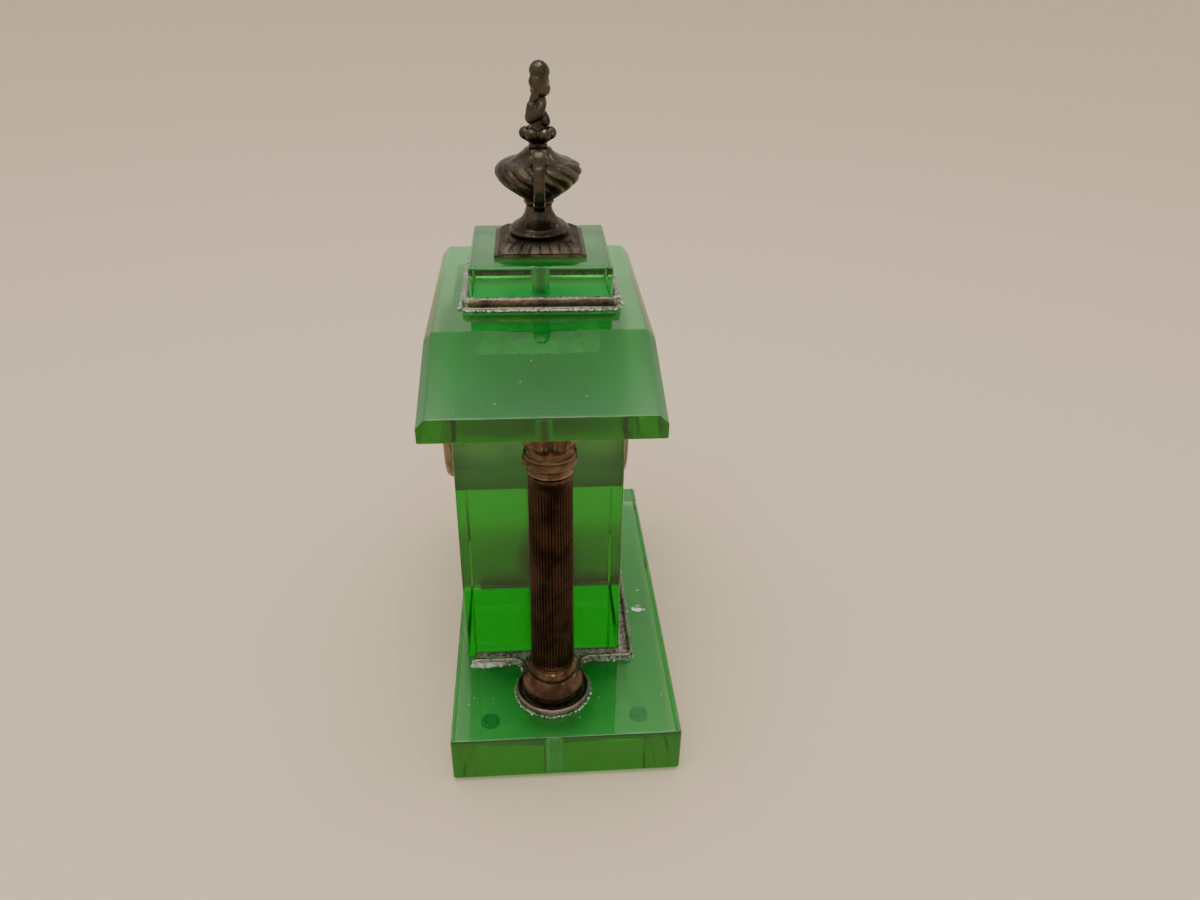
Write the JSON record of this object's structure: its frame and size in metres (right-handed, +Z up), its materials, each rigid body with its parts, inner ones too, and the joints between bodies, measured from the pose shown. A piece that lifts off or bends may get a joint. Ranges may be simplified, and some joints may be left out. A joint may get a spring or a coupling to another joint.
{
  "type": "portico mantel clock",
  "caption": "Mantel clock of thick green glass slabs with bronze columns, rails and a two-handled urn finial, and a round spring-driven movement with hinged doors.",
  "frame": {"origin": "middle of the footprint, on the surface that the feet stand on", "axes": "+Z up; the dial faces -Y; +X to the right as seen from the front"},
  "size_m": [0.234, 0.1226, 0.339],
  "materials": {
    "green_glass": "polished thick bottle-green glass, ground inside its drillings",
    "clear_glass": "thin clear pane",
    "clear_rubber": "clear soft bumper",
    "patinated_bronze": "dark patinated bronze, rubbed bright on its high points",
    "verdigris_bronze": "bronze with a pale corrosion crust in its grooves",
    "brass": "lacquered turned brass",
    "steel": "plain turned steel",
    "blued_steel": "heat-blued steel",
    "enamel": "fired white enamel",
    "cement": "thin pale cement film"
  },
  "bodies": {
    "case": {"back_bezel": "patinated_bronze", "back_door_pin": "steel", "back_plate": "brass", "base_rail": "verdigris_bronze", "base_slab": "green_glass", "body_block": "green_glass", "dial": "enamel", "finial_plinth": "patinated_bronze", "finial_stud": "steel", "flame": "patinated_bronze", "foot_back_left": "clear_rubber", "foot_back_right": "clear_rubber", "foot_front_left": "clear_rubber", "foot_front_right": "clear_rubber", "front_bezel": "patinated_bronze", "front_door_pin": "steel", "front_plate": "brass", "left_column_base": "patinated_bronze", "left_column_bolt": "steel", "left_column_capital": "patinated_bronze", "left_column_shaft": "patinated_bronze", "lower_cement": "cement", "movement_drum": "brass", "pillar_1": "brass", "pillar_2": "brass", "pillar_3": "brass", "pillar_4": "brass", "right_column_base": "patinated_bronze", "right_column_bolt": "steel", "right_column_capital": "patinated_bronze", "right_column_shaft": "patinated_bronze", "roof_slab": "green_glass", "stud_nut": "brass", "top_block": "green_glass", "top_gallery": "verdigris_bronze", "upper_cement": "cement", "urn_bowl": "patinated_bronze", "urn_handle_left": "patinated_bronze", "urn_handle_right": "patinated_bronze", "urn_lid": "patinated_bronze"},
    "front_door": {"front_door": "patinated_bronze", "front_door_glass": "clear_glass"},
    "back_door": {"back_door": "patinated_bronze"},
    "minute_work": {"minute_hand": "blued_steel", "hand_nut": "brass", "centre_arbor": "steel", "centre_wheel": "brass"},
    "hour_work": {"hour_hand": "blued_steel", "hour_pipe": "brass"},
    "motion_wheel": {"minute_wheel": "brass"},
    "going_barrel": {"barrel": "brass", "barrel_cover": "brass", "mainspring": "steel"},
    "winding_arbor": {"winding_arbor": "steel"},
    "third_wheel": {"third_wheel": "brass"},
    "escape_wheel": {"escape_wheel": "brass"},
    "balance": {"balance": "brass"}
  },
  "joints": [
    {"name": "front_door_hinge", "type": "hinge", "parent": "case", "child": "front_door", "pos_m": [-0.0424, -0.05735, 0.1597], "axis": [0, 0, -1], "range_deg": [0, 110]},
    {"name": "back_door_hinge", "type": "hinge", "parent": "case", "child": "back_door", "pos_m": [-0.0424, 0.03605, 0.1597], "axis": [0, 0, 1], "range_deg": [0, 110]},
    {"name": "minute_turn", "type": "hinge", "parent": "case", "child": "minute_work", "pos_m": [0, -0.03, 0.1597], "axis": [0, 1, 0], "continuous": true},
    {"name": "hour_turn", "type": "hinge", "parent": "case", "child": "hour_work", "pos_m": [0, -0.03, 0.1597], "axis": [0, 1, 0], "continuous": true},
    {"name": "motion_turn", "type": "hinge", "parent": "case", "child": "motion_wheel", "pos_m": [0, -0.03, 0.1714], "axis": [0, 1, 0], "continuous": true},
    {"name": "barrel_turn", "type": "hinge", "parent": "case", "child": "going_barrel", "pos_m": [-0.01145, -0.03, 0.14824], "axis": [0, 1, 0], "continuous": true},
    {"name": "winding_turn", "type": "hinge", "parent": "case", "child": "winding_arbor", "pos_m": [-0.01145, -0.03, 0.14824], "axis": [0, 1, 0], "continuous": true},
    {"name": "third_turn", "type": "hinge", "parent": "case", "child": "third_wheel", "pos_m": [0.00715, -0.03, 0.17208], "axis": [0, 1, 0], "continuous": true},
    {"name": "escape_turn", "type": "hinge", "parent": "case", "child": "escape_wheel", "pos_m": [0.01838, -0.03, 0.1701], "axis": [0, 1, 0], "continuous": true},
    {"name": "balance_swing", "type": "hinge", "parent": "case", "child": "balance", "pos_m": [0.01695, -0.03, 0.15069], "axis": [0, 1, 0], "range_deg": [-220, 220], "stiffness_Nm_per_rad": 0.00001}
  ],
  "couplings": [
    {"joint": "hour_turn", "follows": "minute_turn", "ratio": 0.083333},
    {"joint": "motion_turn", "follows": "minute_turn", "ratio": -0.33333},
    {"joint": "barrel_turn", "follows": "minute_turn", "ratio": -0.17778},
    {"joint": "third_turn", "follows": "minute_turn", "ratio": -5},
    {"joint": "escape_turn", "follows": "minute_turn", "ratio": 20}
  ]
}
